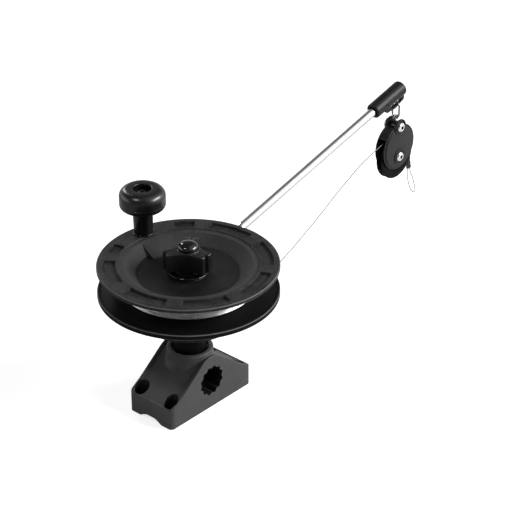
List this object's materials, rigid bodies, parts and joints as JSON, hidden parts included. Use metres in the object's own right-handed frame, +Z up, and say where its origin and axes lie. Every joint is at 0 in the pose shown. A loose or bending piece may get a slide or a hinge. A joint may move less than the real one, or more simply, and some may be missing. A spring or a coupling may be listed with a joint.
{
  "type": "downrigger",
  "caption": "Hand-cranked downrigger: deck bracket, splined post, cable spool with drag clutch and crank, short rod boom and hanging pulley block.",
  "frame": {"origin": "middle of the deck bracket's underside, under the post and spool axis", "axes": "+Z up along the post, the spindle and the spool; +Y level, in the direction that the boom points; +X to the cable's side of the boom"},
  "size_m": [0.159, 0.4137, 0.1825],
  "materials": {
    "bracket_nylon": "dark grey glass-filled nylon, fine moulded texture",
    "reel_nylon": "black glass-filled nylon, fine moulded texture",
    "tip_plastic": "black moulded plastic, satin",
    "clutch_black": "black moulded plastic, semi-gloss",
    "gloss_black": "black moulded plastic, gloss",
    "stainless": "stainless steel, lightly polished",
    "black_screw": "blackened stainless steel",
    "cable_steel": "bright stranded stainless cable",
    "lining": "pressed friction lining, matte",
    "bronze": "plain bearing bronze"
  },
  "bodies": {
    "bracket": {"deck_bracket": "bracket_nylon"},
    "reel": {"splined_post": "reel_nylon", "spindle": "stainless", "spindle_nut": "stainless", "frame_base": "reel_nylon", "brake_lining": "lining", "boom_clamp_screw": "stainless", "boom_clamp_nut": "stainless", "boom_rod": "stainless", "boom_tip": "tip_plastic", "boom_tip_pin": "stainless", "cable_run": "cable_steel"},
    "spool": {"spool_lower_flange": "reel_nylon", "spool_upper_flange": "reel_nylon", "spool_bushing": "bronze", "spool_screw_1": "stainless", "spool_screw_2": "stainless", "spool_screw_3": "stainless", "cable_core": "cable_steel", "cable_winding": "cable_steel", "stem_ring": "reel_nylon", "handle_stem": "gloss_black", "handle_washer": "stainless", "handle_screw": "black_screw", "drag_lining": "lining"},
    "crank": {"crank_knob": "gloss_black"},
    "drag": {"drag_washer": "stainless"},
    "clutch": {"clutch_knob": "clutch_black", "clutch_insert": "bronze", "clutch_cap": "gloss_black"},
    "hanger": {"hanger_link": "stainless", "swivel_eye": "stainless"},
    "block": {"swivel_knuckle": "stainless", "cheek_front": "tip_plastic", "cheek_back": "tip_plastic", "sheave_bushing": "bronze", "axle_screw": "stainless", "axle_nut": "stainless", "hanger_screw": "stainless", "hanger_nut": "stainless", "cable_over_sheave": "cable_steel", "crimp_sleeve": "stainless", "cable_loop": "cable_steel"},
    "wheel": {"sheave": "reel_nylon"}
  },
  "joints": [
    {"name": "reel_lift", "type": "slide", "parent": "bracket", "child": "reel", "axis": [0, 0, 1], "range_m": [0, 0.046]},
    {"name": "spool_spin", "type": "hinge", "parent": "reel", "child": "spool", "pos_m": [0, 0, 0.112], "axis": [0, 0, 1], "continuous": true},
    {"name": "knob_spin", "type": "hinge", "parent": "spool", "child": "crank", "pos_m": [-0.06328, 0.01196, 0.1645], "axis": [0, 0, 1], "continuous": true},
    {"name": "clutch_lift", "type": "slide", "parent": "reel", "child": "drag", "axis": [0, 0, 1], "range_m": [0, 0.00125]},
    {"name": "clutch_turn", "type": "hinge", "parent": "drag", "child": "clutch", "pos_m": [0, 0, 0.135], "axis": [0, 0, 1], "range_deg": [0, 366]},
    {"name": "block_swing", "type": "hinge", "parent": "reel", "child": "hanger", "pos_m": [-0.022, 0.3026, 0.1629], "axis": [1, 0, 0], "range_deg": [-30, 30], "deforming": ["cable_run"]},
    {"name": "block_swivel", "type": "hinge", "parent": "hanger", "child": "block", "pos_m": [-0.022, 0.3026, 0.145], "axis": [0, 0, 1], "range_deg": [-5, 5]},
    {"name": "sheave_spin", "type": "hinge", "parent": "block", "child": "wheel", "pos_m": [-0.022, 0.3026, 0.1092], "axis": [1, 0, 0], "continuous": true}
  ],
  "couplings": [
    {"joint": "clutch_turn", "follows": "clutch_lift", "rad_per_m": 5026.5}
  ]
}
